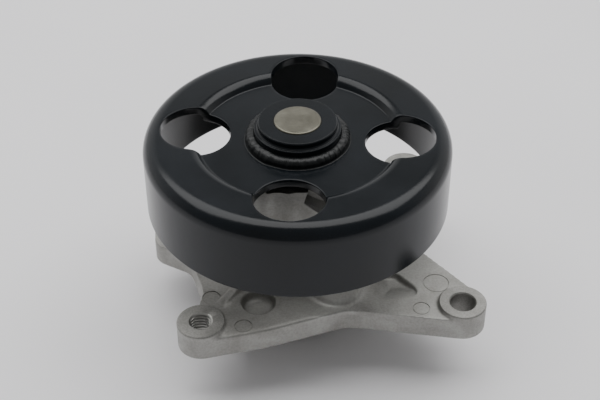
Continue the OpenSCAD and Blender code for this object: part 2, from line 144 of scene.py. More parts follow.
def add(tree, kind, links=None, stops=(), **settings):
    """Adds one node with its links and settings.

    A setting names an input socket (underscores for spaces) or a node property. The stops of a colour
    ramp are pairs of a position and a colour.
    """
    node = tree.nodes.new(kind)
    for i, (position, colour) in enumerate(stops):
        bands = node.color_ramp.elements
        band = bands[0] if i == 0 else bands[-1] if i == len(stops) - 1 else bands.new(position)
        band.position, band.color = position, colour
    for key, value in settings.items():
        socket = node.inputs.get(key.replace("_", " "))
        if socket is not None:
            socket.default_value = value
        else:
            setattr(node, key, value)
    for key, source in (links or {}).items():
        target = node.inputs[key] if isinstance(key, int) else node.inputs[key.replace("_", " ")]
        tree.links.new(source, target)
    return node


def start(name, **shader):
    """A new material with its shader's even values set on the shader itself."""
    material = bpy.data.materials.new(name)
    material.use_nodes = True
    tree = material.node_tree
    surface = tree.nodes["Principled BSDF"]
    for key, value in shader.items():
        surface.inputs[key.replace("_", " ")].default_value = value
    place = add(tree, "ShaderNodeTexCoord")
    return material, tree, surface, place.outputs["Object"]


def grey(level):
    return (level, level, level, 1.0)


def per_mm(size):
    """Pattern scale for features about size millimetres wide."""
    return 1.0 / (size * MM)


def finish_with(tree, surface, colour, sheen, height, strength, depth):
    """Wires colour, roughness and a bump of depth millimetres to the shader."""
    tree.links.new(colour, surface.inputs["Base Color"])
    tree.links.new(sheen, surface.inputs["Roughness"])
    relief = add(tree, "ShaderNodeBump", {"Height": height}, Strength=strength, Distance=depth * MM)
    tree.links.new(relief.outputs["Normal"], surface.inputs["Normal"])


def electrocoat():
    """Black electrocoated steel: a thin even satin film with a faint orange peel, pale dust in places."""
    material, tree, surface, place = start("black_electrocoated_steel", IOR=1.5, Specular_IOR_Level=0.27)
    cloud = add(tree, "ShaderNodeTexNoise", {"Vector": place}, Scale=per_mm(22), Detail=4.0)
    peel = add(tree, "ShaderNodeTexNoise", {"Vector": place}, Scale=per_mm(1.1), Detail=3.0)
    dust = add(tree, "ShaderNodeTexNoise", {"Vector": place}, Scale=per_mm(0.5), Detail=2.0)
    film = add(tree, "ShaderNodeValToRGB", {"Fac": cloud.outputs["Fac"]}, stops=[
        (0.3, paint("#0b0f12")), (0.7, paint("#10151a"))
    ]).outputs["Color"]
    specks = add(tree, "ShaderNodeValToRGB", {"Fac": dust.outputs["Fac"]}, stops=[
        (0.68, grey(0.0)), (0.8, grey(0.35))
    ]).outputs["Color"]
    colour = add(tree, "ShaderNodeMixRGB", {"Fac": specks, "Color1": film}, Color2=paint("#2c3031"))
    sheen = add(tree, "ShaderNodeValToRGB", {"Fac": cloud.outputs["Fac"]}, stops=[
        (0.25, grey(0.17)), (0.75, grey(0.25))
    ]).outputs["Color"]
    finish_with(tree, surface, colour.outputs["Color"], sheen, peel.outputs["Fac"], 0.10, 0.12)
    return material


def weld_skin():
    """Electrocoat over a weld bead: a rougher, slightly paler black, wrinkled by the scale below."""
    material, tree, surface, place = start("black_coated_weld_bead", IOR=1.5, Specular_IOR_Level=0.27)
    scale = add(tree, "ShaderNodeTexNoise", {"Vector": place}, Scale=per_mm(1.6), Detail=5.0, Roughness=0.6)
    film = add(tree, "ShaderNodeValToRGB", {"Fac": scale.outputs["Fac"]}, stops=[
        (0.3, paint("#0c0e0f")), (0.75, paint("#1a1c1d"))
    ]).outputs["Color"]
    sheen = add(tree, "ShaderNodeValToRGB", {"Fac": scale.outputs["Fac"]}, stops=[
        (0.3, grey(0.24)), (0.75, grey(0.42))
    ]).outputs["Color"]
    finish_with(tree, surface, film, sheen, scale.outputs["Fac"], 0.4, 0.3)
    return material


def die_cast():
    """Die-cast aluminium as it leaves the die: matt grey skin, cloudy flow marks and a fine pebble grain."""
    material, tree, surface, place = start("die_cast_aluminium", Metallic=0.78)
    flow = add(tree, "ShaderNodeTexNoise", {"Vector": place}, Scale=per_mm(14), Detail=6.0,
               Roughness=0.55, Distortion=0.8)
    grain = add(tree, "ShaderNodeTexNoise", {"Vector": place}, Scale=per_mm(0.8), Detail=4.0, Roughness=0.65)
    pits = add(tree, "ShaderNodeTexVoronoi", {"Vector": place}, Scale=per_mm(1.9))
    skin = add(tree, "ShaderNodeValToRGB", {"Fac": flow.outputs["Fac"]}, stops=[
        (0.28, paint("#93928d")), (0.5, paint("#a3a29e")), (0.74, paint("#b1b1ad"))
    ]).outputs["Color"]
    soot = add(tree, "ShaderNodeValToRGB", {"Fac": grain.outputs["Fac"]}, stops=[
        (0.3, grey(0.80)), (0.62, grey(1.0))
    ]).outputs["Color"]
    colour = add(tree, "ShaderNodeMixRGB", {"Color1": skin, "Color2": soot}, blend_type="MULTIPLY", Fac=1.0)
    sheen = add(tree, "ShaderNodeValToRGB", {"Fac": flow.outputs["Fac"]}, stops=[
        (0.25, grey(0.62)), (0.75, grey(0.5))
    ]).outputs["Color"]
    dimple = add(tree, "ShaderNodeValToRGB", {"Fac": pits.outputs["Distance"]}, stops=[
        (0.0, grey(0.0)), (0.22, grey(1.0))
    ]).outputs["Color"]
    height = add(tree, "ShaderNodeMixRGB", {"Color1": grain.outputs["Fac"], "Color2": dimple}, Fac=0.25)
    finish_with(tree, surface, colour.outputs["Color"], sheen, height.outputs["Color"], 0.38, 0.16)
    return material


def milled():
    """Faced and drilled aluminium: a dull even grey with fine cutter lines under a sandy bloom."""
    material, tree, surface, place = start("faced_aluminium", Metallic=0.85)
    haze = add(tree, "ShaderNodeTexNoise", {"Vector": place}, Scale=per_mm(6), Detail=5.0, Distortion=0.5)
    sand = add(tree, "ShaderNodeTexNoise", {"Vector": place}, Scale=per_mm(0.55), Detail=3.0, Roughness=0.7)
    lines = add(tree, "ShaderNodeTexWave", {"Vector": place}, Scale=per_mm(2.6), wave_type="RINGS",
                rings_direction="Z", Distortion=1.2, Detail=2.0)
    tone = add(tree, "ShaderNodeValToRGB", {"Fac": haze.outputs["Fac"]}, stops=[
        (0.3, paint("#8d8c88")), (0.7, paint("#a09f9b"))
    ]).outputs["Color"]
    specks = add(tree, "ShaderNodeValToRGB", {"Fac": sand.outputs["Fac"]}, stops=[
        (0.32, grey(0.74)), (0.6, grey(1.0))
    ]).outputs["Color"]
    colour = add(tree, "ShaderNodeMixRGB", {"Color1": tone, "Color2": specks}, blend_type="MULTIPLY", Fac=1.0)
    sheen = add(tree, "ShaderNodeValToRGB", {"Fac": haze.outputs["Fac"]}, stops=[
        (0.3, grey(0.5)), (0.7, grey(0.6))
    ]).outputs["Color"]
    both = {"Color1": lines.outputs["Fac"], "Color2": sand.outputs["Fac"]}
    height = add(tree, "ShaderNodeMixRGB", both, Fac=0.6)
    finish_with(tree, surface, colour.outputs["Color"], sheen, height.outputs["Color"], 0.3, 0.09)
    return material


def steel(name, dark, light, smooth, rough, line_mm, depth):
    """Bare metal with lathe or grinding lines around the shaft axis, line_mm apart and depth deep."""
    material, tree, surface, place = start(name, Metallic=1.0)
    stain = add(tree, "ShaderNodeTexNoise", {"Vector": place}, Scale=per_mm(5), Detail=5.0, Roughness=0.6)
    lines = add(tree, "ShaderNodeTexWave", {"Vector": place}, Scale=per_mm(line_mm * WAVES_PER_LINE),
                wave_type="RINGS", rings_direction="Z", Distortion=0.6, Detail=2.0)
    tone = add(tree, "ShaderNodeValToRGB", {"Fac": stain.outputs["Fac"]}, stops=[
        (0.3, paint(dark)), (0.7, paint(light))
    ]).outputs["Color"]
    sheen = add(tree, "ShaderNodeValToRGB", {"Fac": stain.outputs["Fac"]}, stops=[
        (0.3, grey(smooth)), (0.7, grey(rough))
    ]).outputs["Color"]
    finish_with(tree, surface, tone, sheen, lines.outputs["Fac"], 0.2, depth)
    return material


def moulded(name, dark, light, smooth, rough, grain_mm, depth, **shader):
    """A moulded, lapped or sintered body: even colour with a fine grain, grain_mm wide and depth deep."""
    material, tree, surface, place = start(name, **shader)
    bloom = add(tree, "ShaderNodeTexNoise", {"Vector": place}, Scale=per_mm(8), Detail=4.0)
    grain = add(tree, "ShaderNodeTexNoise", {"Vector": place}, Scale=per_mm(grain_mm), Detail=4.0,
                Roughness=0.6)
    tone = add(tree, "ShaderNodeValToRGB", {"Fac": bloom.outputs["Fac"]}, stops=[
        (0.3, paint(dark)), (0.7, paint(light))
    ]).outputs["Color"]
    sheen = add(tree, "ShaderNodeValToRGB", {"Fac": bloom.outputs["Fac"]}, stops=[
        (0.3, grey(smooth)), (0.7, grey(rough))
    ]).outputs["Color"]
    finish_with(tree, surface, tone, sheen, grain.outputs["Fac"], 0.3, depth)
    return material


ELECTROCOAT = electrocoat()
WELD_SKIN = weld_skin()
DIE_CAST = die_cast()
MILLED = milled()
# tapped threads: freshly cut bright aluminium
TAPPED = steel("tapped_aluminium", "#9f9e9a", "#b1b0ac", 0.34, 0.46, 0.8, 0.02)
# ground shaft steel: warm grey, with fine facing rings on its end
SHAFT_STEEL = steel("ground_shaft_steel", "#646258", "#747268", 0.3, 0.42, 0.7, 0.08)
# bearing steel: bright and nearly mirror-smooth
BEARING_STEEL = steel("hardened_bearing_steel", "#b4b5b5", "#c9caca", 0.12, 0.2, 0.4, 0.01)
# drawn spring wire: bright with a dull drawing skin
SPRING_STEEL = steel("drawn_spring_wire", "#9c9c99", "#b4b4b0", 0.22, 0.34, 0.6, 0.02)
# stainless sheet: pale, slightly brushed from pressing
STAINLESS = steel("pressed_stainless_sheet", "#a8a6a0", "#bcbab4", 0.25, 0.36, 0.8, 0.03)
# impeller steel: oiled cold-rolled sheet, grey-brown with a soft sheen
IMPELLER_STEEL = steel("oiled_cold_rolled_steel", "#77736a", "#938f86", 0.34, 0.5, 1.8, 0.03)
# brass sheet: yellow with tarnish clouds
BRASS = steel("pressed_brass_sheet", "#a3814a", "#c09a5b", 0.26, 0.4, 1.0, 0.03)
# seal rubber: deep grey-black, matt with a faint mould sheen
RUBBER = moulded("moulded_nitrile_rubber", "#17181a", "#242527", 0.5, 0.68, 0.4, 0.08)
# glass-filled nylon: brown with flecks
CAGE_NYLON = moulded("glass_filled_nylon", "#5a4327", "#6d5433", 0.42, 0.56, 0.3, 0.06)
# carbon graphite: lapped dark grey with a silky shine
CARBON = moulded("lapped_carbon_graphite", "#26272a", "#333438", 0.28, 0.4, 0.25, 0.03)
# silicon carbide: lapped near-black ceramic, glossy
CERAMIC = moulded("lapped_silicon_carbide", "#2b2d31", "#3c3e43", 0.12, 0.2, 0.2, 0.02, IOR=1.9)


# ---------------------------------------------------------------- shaping tools
def as_piece(name, mesh, material):
    piece = bpy.data.objects.new(name, mesh)
    bpy.context.scene.collection.objects.link(piece)
    mesh.materials.clear()
    mesh.materials.append(material)
    return piece


def solid(name, points, faces):
    """A closed mesh in metres from points in millimetres, its faces turned outwards."""
    mesh = bpy.data.meshes.new(name)
    mesh.from_pydata([Vector(p) * MM for p in points], [], faces)
    shape = bmesh.new()
    shape.from_mesh(mesh)
    bmesh.ops.recalc_face_normals(shape, faces=shape.faces)
    shape.to_mesh(mesh)
    shape.free()
    mesh.shade_smooth()
    return mesh


def soften(outline, radius, steps=4):
    """Rounds the corners of a closed outline, except those on the axis."""
    count = len(outline)
    result = []
    for i, point in enumerate(outline):
        at = Vector(point)
        if at.x < 1e-6:
            result.append(tuple(at))
            continue
        before = Vector(outline[i - 1]) - at
        after = Vector(outline[(i + 1) % count]) - at
        u, v = before.normalized(), after.normalized()
        half = math.acos(max(-1, min(1, u.dot(v)))) / 2
        if half > math.radians(86) or half < math.radians(5):
            result.append(tuple(at))
            continue
        reach = min(radius / math.tan(half), 0.42 * before.length, 0.42 * after.length)
        r = reach * math.tan(half)
        centre = at + (u + v).normalized() * (r / math.sin(half))
        a, b = at + u * reach - centre, at + v * reach - centre
        turn_by = a.angle_signed(b)
        for k in range(steps + 1):
            c, s = math.cos(-turn_by * k / steps), math.sin(-turn_by * k / steps)
            result.append((centre.x + c * a.x - s * a.y, centre.y + s * a.x + c * a.y))
    return result


def turned(name, outline, radius=0.2, facets=144, centre=(0.0, 0.0)):
    """Mesh of a closed outline of (radius, height) in millimetres revolved about an upright axis."""
    outline = soften(outline, radius) if radius else outline
    points, faces, rows = [], [], []
    for r, z in outline:
        if r < 1e-6:
            rows.append([len(points)] * facets)
            points.append((centre[0], centre[1], z))
            continue
        rows.append(range(len(points), len(points) + facets))
        for k in range(facets):
            a = 2 * math.pi * k / facets
            points.append((centre[0] + r * math.cos(a), centre[1] + r * math.sin(a), z))
    for i, row in enumerate(rows):
        other = rows[(i + 1) % len(rows)]
        for k in range(facets):
            j = (k + 1) % facets
            corners = []
            for index in (row[k], row[j], other[j], other[k]):
                if index not in corners:
                    corners.append(index)
            if len(corners) > 2:
                faces.append(corners)
    return solid(name, points, faces)


def weigh_normals(piece):
    """Keeps flats flat next to small rounded edges."""
    weigh = piece.modifiers.new("flat_faces", "WEIGHTED_NORMAL")
    weigh.weight = 60
    weigh.keep_sharp = True


def fix(piece, body, nodes):
    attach(piece, body)
    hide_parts(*nodes)


def settle(piece):
    """Makes the modifiers' result the mesh itself."""
    graph = bpy.context.evaluated_depsgraph_get()
    mesh = bpy.data.meshes.new_from_object(piece.evaluated_get(graph))
    piece.modifiers.clear()
    piece.data = mesh


def cut(piece, tool_mesh):
    """Takes a closed tool's volume out of a piece."""
    tool = bpy.data.objects.new("tool", tool_mesh)
    bpy.context.scene.collection.objects.link(tool)
    bite = piece.modifiers.new("bite", "BOOLEAN")
    bite.operation = "DIFFERENCE"
    bite.solver = "MANIFOLD"
    bite.object = tool
    settle(piece)
    bpy.data.objects.remove(tool)


def recast(name, node, voxel, rounds, extra=(), lift=None):
    """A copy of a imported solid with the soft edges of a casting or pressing."""
    shape = bmesh.new()
    shape.from_mesh(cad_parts[node].data)
    bmesh.ops.remove_doubles(shape, verts=shape.verts, dist=0.002 * MM)
    for level, move in (lift or {}).items():
        for vertex in shape.verts:
            if abs(vertex.co.z / MM - level) < 0.02:
                vertex.co.z += move * MM
    for mesh in extra:
        shape.from_mesh(mesh)
    mesh = bpy.data.meshes.new(name)
    shape.to_mesh(mesh)
    shape.free()
    piece = bpy.data.objects.new(name, mesh)
    bpy.context.scene.collection.objects.link(piece)
    remesh = piece.modifiers.new("remesh", "REMESH")
    remesh.mode = "VOXEL"
    remesh.voxel_size = voxel * MM
    relax = piece.modifiers.new("relax", "SMOOTH")
    relax.factor = 0.5
    relax.iterations = rounds
    settle(piece)
    piece.data.shade_smooth()
    return piece


# ---------------------------------------------------------------- pulley
def face_height(r):
    """Outer surface of the pressed front at radius r."""
    if r > PULLEY_R - CORNER_R:
        return CORNER_Z + math.sqrt(max(0.0, CORNER_R ** 2 - (r - PULLEY_R + CORNER_R) ** 2))
    if r > STEP_C[0]:
        return BAND_Z
    crest = STEP_C[1] + math.sqrt(max(0.0, STEP_R ** 2 - (STEP_C[0] - r) ** 2))
    root = 0.16  # softness of the inner corner at the foot of the step
    return (crest + WEB_Z + math.sqrt((crest - WEB_Z) ** 2 + root ** 2)) / 2


def back_height(r):
    """Inner surface of the pressed front at radius r."""
    bend_r = STEP_R - SHEET
    bend_start = STEP_C[0] - bend_r
    if r > PULLEY_R - CORNER_R:
        return CORNER_Z + math.sqrt(max(0.0, INNER_CORNER_R ** 2 - (r - PULLEY_R + CORNER_R) ** 2))
    if r > STEP_C[0]:
        return CORNER_Z + INNER_CORNER_R
    if r > bend_start:
        return STEP_C[1] + math.sqrt(max(0.0, bend_r ** 2 - (STEP_C[0] - r) ** 2))
    ramp_w = 0.35
    rise = max(0.0, 1 - (bend_start - r) / ramp_w)
    return WEB_UNDER + (STEP_C[1] - WEB_UNDER) * rise * rise * (3 - 2 * rise)


def spread(first, last, step):
    """Even values from first to last, about step apart."""
    count = max(1, round((last - first) / step))
    return [first + (last - first) * i / count for i in range(count + 1)]


def window_centres():
    angles = [math.radians(WINDOW_TURN + 360 / WINDOWS * i) for i in range(WINDOWS)]
    return [(WINDOW_PCD_R * math.cos(a), WINDOW_PCD_R * math.sin(a)) for a in angles]


def pressed_sheet(radii, height, cut_sign, facets, window_steps):
    """One side of the pierced front as points and triangles; cut_sign lowers or raises the cut edges."""
    centres = window_centres()
    flat, lift, edges = [], [], []
    for r in radii:
        first = len(flat)
        whole = r in (radii[0], radii[-1])
        for k in range(facets):
            a = 2 * math.pi * k / facets
            x, y = r * math.cos(a), r * math.sin(a)
            if whole or all(math.hypot(x - cx, y - cy) > WINDOW_R + CUT_EDGE + 0.2 for cx, cy in centres):
                flat.append(Vector((x, y)))
                lift.append(height(r))
        if whole:
            edges += [(first + k, first + (k + 1) % facets) for k in range(facets)]
    for cx, cy in centres:
        for turn_deg in (0, 18, 36, 54, 72, 90):
            t = math.radians(turn_deg)
            d = WINDOW_R + CUT_EDGE * (1 - math.cos(t))
            drop = CUT_EDGE * (1 - math.sin(t))
            first = len(flat)
            for k in range(window_steps):
                a = 2 * math.pi * k / window_steps
                x, y = cx + d * math.cos(a), cy + d * math.sin(a)
                flat.append(Vector((x, y)))
                lift.append(height(math.hypot(x, y)) - cut_sign * drop)
            edges += [(first + k, first + (k + 1) % window_steps) for k in range(window_steps)]
    found = delaunay_2d_cdt(flat, edges, [], 0, 1e-6)
    corners, triangles, sources = found[0], found[2], found[3]
    points = [(c.x, c.y, lift[s[0]] if s else height(c.length)) for c, s in zip(corners, sources)]

    def in_hole(face):
        middle = sum((corners[i] for i in face), Vector((0, 0))) / 3
        if middle.length < radii[0] * math.cos(math.pi / facets):
            return True
        limit = WINDOW_R * math.cos(math.pi / window_steps)
        return any(math.hypot(middle.x - cx, middle.y - cy) < limit for cx, cy in centres)

    return points, [tuple(face) for face in triangles if not in_hole(face)]


def pressed_pulley():
    """The cup: pierced front, its back, the window edges between them, and the wall down to the rim."""
    facets, window_steps = 240, 144
    # rows of points lie close together on the step and the corner, wide apart on the flats
    radii = (
        [SHOULDER_R] + spread(16, 32, 1.0) + spread(32.3, 37.5, 0.26) + spread(38.3, 46, 0.9) +
        spread(46.55, FRONT_EDGE_R, 0.43)
    )
    back_radii = (
        [SHOULDER_R] + spread(16, 35, 1.2) + spread(35.5, 37.4, 0.19) + spread(38.3, 46, 1.1) +
        spread(46.55, BACK_EDGE_R, 0.24)
    )
    points, faces = pressed_sheet(radii, face_height, 1, facets, window_steps)
    back_points, back_faces = pressed_sheet(back_radii, back_height, -1, facets, window_steps)
    offset = len(points)
    points += back_points
    faces += [tuple(i + offset for i in face) for face in back_faces]

    places = {}
    for i, (x, y, z) in enumerate(points):
        places[(round(x, 2), round(y, 2), i >= offset)] = i

    def circle(cx, cy, r, count, behind):
        """The points already made on a circle of the front or of its back."""
        ring = []
        for k in range(count):
            a = 2 * math.pi * k / count
            ring.append(places[(round(cx + r * math.cos(a), 2), round(cy + r * math.sin(a), 2), behind)])
        return ring

    def bridge(first, last, levels):
        """Joins two rings by rows between them, each levels part of the way."""
        rows = [first]
        for part in levels:
            row = []
            for a, b in zip(first, last):
                row.append(len(points))
                points.append(tuple(Vector(points[a]).lerp(Vector(points[b]), part)))
            rows.append(row)
        rows.append(last)
        for row, other in zip(rows, rows[1:]):
            count = len(row)
            for k in range(count):
                j = (k + 1) % count
                faces.append((row[k], row[j], other[j], other[k]))

    for cx, cy in window_centres():
        bridge(circle(cx, cy, WINDOW_R, window_steps, False), circle(cx, cy, WINDOW_R, window_steps, True),
               (0.33, 0.66))
    bridge(circle(0, 0, SHOULDER_R, facets, False), circle(0, 0, SHOULDER_R, facets, True), (0.5,))

    # wall from the outer edge of the front, down to the rim and up inside
    wall = []
    start_a = math.acos((FRONT_EDGE_R - PULLEY_R + CORNER_R) / CORNER_R)
    for part in spread(0, 1, 0.08)[1:]:
        a = start_a * (1 - part)
        wall.append((PULLEY_R - CORNER_R + CORNER_R * math.cos(a), CORNER_Z + CORNER_R * math.sin(a)))
    wall += [(PULLEY_R, CORNER_Z - 0.5), (PULLEY_R, RIM_Z + 0.9)]
    rim_r = 0.7
    for middle, first_a, last_a in ((PULLEY_R - rim_r, 0, -90), (PULLEY_R - SHEET + rim_r, -90, -180)):
        for turn_deg in spread(first_a, last_a, -18):
            a = math.radians(turn_deg)
            wall.append((middle + rim_r * math.cos(a), RIM_Z + rim_r + rim_r * math.sin(a)))
    wall += [(PULLEY_R - SHEET, z) for z in spread(RIM_Z + 1.4, CORNER_Z - 0.3, 3)]
    end_a = math.acos((BACK_EDGE_R - PULLEY_R + CORNER_R) / INNER_CORNER_R)
    for part in spread(0, 1, 0.14)[:-1]:
        a = end_a * part
        reach, rise = INNER_CORNER_R * math.cos(a), INNER_CORNER_R * math.sin(a)
        wall.append((PULLEY_R - CORNER_R + reach, CORNER_Z + rise))
    row = circle(0, 0, FRONT_EDGE_R, facets, False)
    for r, z in wall:
        ring = range(len(points), len(points) + facets)
        for k in range(facets):
            a = 2 * math.pi * k / facets
            points.append((r * math.cos(a), r * math.sin(a), z))
        faces += [(row[k], row[(k + 1) % facets], ring[(k + 1) % facets], ring[k]) for k in range(facets)]
        row = ring
    last = circle(0, 0, BACK_EDGE_R, facets, True)
    faces += [(row[k], row[(k + 1) % facets], last[(k + 1) % facets], last[k]) for k in range(facets)]

    piece = as_piece("pressed_pulley", solid("pressed_pulley", points, faces), ELECTROCOAT)
    fix(piece, "rotor", ["pulley"])


def turned_hub():
    """Hub with a bevelled back edge, a fine shoulder bevel, a fillet under the nose and a bevelled nose."""
    back, shoulder, fillet, nose, bore = 0.8, 0.25, 0.5, 0.35, 0.15
    outline = [
        (SHAFT_R, HUB_BACK_Z), (SHOULDER_R - back, HUB_BACK_Z), (SHOULDER_R, HUB_BACK_Z + back),
        (SHOULDER_R, SHOULDER_Z - shoulder), (SHOULDER_R - shoulder, SHOULDER_Z),
        (NOSE_R + fillet, SHOULDER_Z), (NOSE_R, SHOULDER_Z + fillet), (NOSE_R, NOSE_Z - nose),
        (NOSE_R - nose, NOSE_Z), (SHAFT_R + bore, NOSE_Z), (SHAFT_R, NOSE_Z - bore)
    ]
    piece = as_piece("turned_hub", turned("turned_hub", outline, 0.25), ELECTROCOAT)
    weigh_normals(piece)
    fix(piece, "rotor", ["pulley_hub"])


def weld_bead():
    """Fillet weld: lumpy crest, overlapping ripples, a slow wander, a stop crater and a thin toe."""
    around = 720
    toe, crest = 5, 16
    width, height = 2.95, 3.05
    most_width, most_height = 3.35, 3.3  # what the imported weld's box leaves
    toe_w, toe_h = 0.65, 0.5
    ripple_mm, ripple_r = 2.1, 16.2
    crater_deg, crater_w = 232, 8
    ripples = round(2 * math.pi * ripple_r / ripple_mm)
    root_r = SHOULDER_R - 0.05
    floor_z = WEB_Z - 0.05
    points, faces = [], []
    for i in range(around):
        a = 2 * math.pi * i / around
        wander = 0.5 * math.sin(2 * a + 0.6) + 0.35 * math.sin(5 * a + 2.1) + 0.25 * math.sin(9 * a + 4.0)
        crater = math.exp(-((math.degrees(a) - crater_deg) / crater_w) ** 2)
        body = 1 + 0.055 * wander + 0.06 * crater
        phase = (a * ripples / (2 * math.pi) + 0.6 * math.sin(3 * a) + 0.3 * math.sin(8 * a + 1.0)) % 1
        scallop = 0.3 * (1 - phase) ** 1.5 * (0.55 + 0.45 * math.sin(7 * a + 1.0))
        lump = 0.08 * math.sin(23 * a + 0.7) + 0.06 * math.sin(41 * a + 2.0)
        foot = min(most_width, width * body)
        for k in range(toe):
            part = k / toe
            r = root_r + foot + toe_w * (1 - part) ** 1.6
            points.append((r * math.cos(a), r * math.sin(a), floor_z + toe_h * part ** 1.8))
        for k in range(crest):
            t = math.pi / 2 * k / (crest - 1)
            swell = (scallop + lump) * math.sin(2 * t) ** 0.8 if 0 < k < crest - 1 else 0.0
            w = (foot + swell) * math.cos(t) ** 0.85
            h = toe_h + (min(most_height, height * body) - toe_h + swell) * math.sin(t) ** 0.8
            points.append(((root_r + w) * math.cos(a), (root_r + w) * math.sin(a), floor_z + h))
        points.append((root_r * math.cos(a), root_r * math.sin(a), floor_z))
    loop = toe + crest + 1
    for i in range(around):
        j = (i + 1) % around
        for k in range(loop):
            n = (k + 1) % loop
            faces.append((i * loop + k, j * loop + k, j * loop + n, i * loop + n))
    piece = as_piece("weld_bead", solid("weld_bead", points, faces), WELD_SKIN)
    fix(piece, "rotor", ["hub_weld"])


def ground_shaft():
    """Bearing shaft, drawn plain between the rows, with a thinner impeller end and a bevelled front end."""
    outline = [
        (0, IMPELLER_LOW + 2.2), (1.1, IMPELLER_LOW + 1), (SPINDLE_R - 0.8, IMPELLER_LOW + 1),
        (SPINDLE_R, IMPELLER_LOW + 1.8), (SPINDLE_R, SPINDLE_Z), (SHAFT_R, SPINDLE_Z),
        (SHAFT_R, SHAFT_TOP - 0.4), (SHAFT_R - 0.2, SHAFT_TOP - 0.06), (SHAFT_R - 0.45, SHAFT_TOP),
        (0, SHAFT_TOP)
    ]
    piece = as_piece("ground_shaft", turned("ground_shaft", outline, 0.12), SHAFT_STEEL)
    weigh_normals(piece)
    fix(piece, "rotor", ["pump_shaft"])


# ---------------------------------------------------------------- cast housing
def thread_tool():
    """Closed tool the shape of a tap, with turns TAP_PITCH apart and a small countersink."""
    around, row_h = 48, 0.125
    low, high = -1.0, BOSS_Z + 1.0
    groove_share, sink_depth, most_sink = 0.6, 0.55, 1.0
    rows = round((high - low) / row_h)
    points, faces = [], []
    for i in range(rows + 1):
        z = low + (high - low) * i / rows
        for k in range(around):
            phase = (z / TAP_PITCH - k / around) % 1
            open_part = max(0.0, groove_share - abs(2 * phase - 1)) / groove_share
            depth = open_part * (TAP_MAJOR_R - TAP_MINOR_R)
            sink = max(0.0, z - BOSS_Z + sink_depth)
            r = TAP_MINOR_R + max(depth, min(sink, most_sink))
            a = 2 * math.pi * k / around
            points.append((LEFT_BOSS[0] + r * math.cos(a), LEFT_BOSS[1] + r * math.sin(a), z))
    for i in range(rows):
        for k in range(around):
            j = (k + 1) % around
            faces.append((i * around + k, i * around + j, (i + 1) * around + j, (i + 1) * around + k))
    for base, z in ((0, low), (rows * around, high)):
        middle = len(points)
        points.append((LEFT_BOSS[0], LEFT_BOSS[1], z))
        faces += [(base + k, base + (k + 1) % around, middle) for k in range(around)]
    return solid("thread_tool", points, faces)


def boss_tool(centre, bore_r):
    """Spot-facing and drilling tool: bore, small edge breaks and flat boss face. A bore of 0 only faces."""
    bore_break, edge_break, over, beyond = 0.4, 0.35, 0.9, 4
    face = [
        (BOSS_R - edge_break, BOSS_Z), (BOSS_R + over, BOSS_Z - edge_break - over),
        (BOSS_R + over, BOSS_Z + beyond), (0, BOSS_Z + beyond)
    ]
    bore = [(0, BOSS_Z)]
    if bore_r:
        bore = [(0, -3), (bore_r, -3), (bore_r, BOSS_Z - bore_break), (bore_r + bore_break, BOSS_Z)]
    return turned("boss_tool", bore + face, 0, 96, centre)


def drill(start_point, end_point, radius, facets=48):
    """Straight closed cylinder between two points, for a drilled hole or a shallow round mark."""
    a, b = Vector(start_point), Vector(end_point)
    turn_to = (b - a).to_track_quat("Z", "Y")
    points = []
    for end in (a, b):
        for k in range(facets):
            t = 2 * math.pi * k / facets
            points.append(end + turn_to @ Vector((radius * math.cos(t), radius * math.sin(t), 0)))
    faces = [(k, (k + 1) % facets, facets + (k + 1) % facets, facets + k) for k in range(facets)]
    faces += [tuple(range(facets)), tuple(range(facets, 2 * facets))]
    return solid("drill", points, faces)


def relief_tool():
    """Four-sided block right of the neck's pad, hollowed so that it leaves a round wall round the bearing."""
    wall_r = RING_R + 0.75
    steps = ((2.1, NECK_Z - 4.4), (4.0, NECK_Z + 1), (NECK_R, NECK_Z + 1), (NECK_R, NECK_Z - 19.4))
    points = [(x, y, z) for y in (-NECK_R - 4, -2.0) for x, z in steps]
    faces = [(0, 1, 2, 3), (4, 5, 6, 7)] + [(i, (i + 1) % 4, 4 + (i + 1) % 4, 4 + i) for i in range(4)]
    block = as_piece("relief_block", solid("relief_block", points, faces), DIE_CAST)
    cut(block, turned("bearing_wall", [(0, 10), (wall_r, 10), (wall_r, NECK_Z + 6), (0, NECK_Z + 6)], 0, 160))
    mesh = block.data
    bpy.data.objects.remove(block)
    return mesh


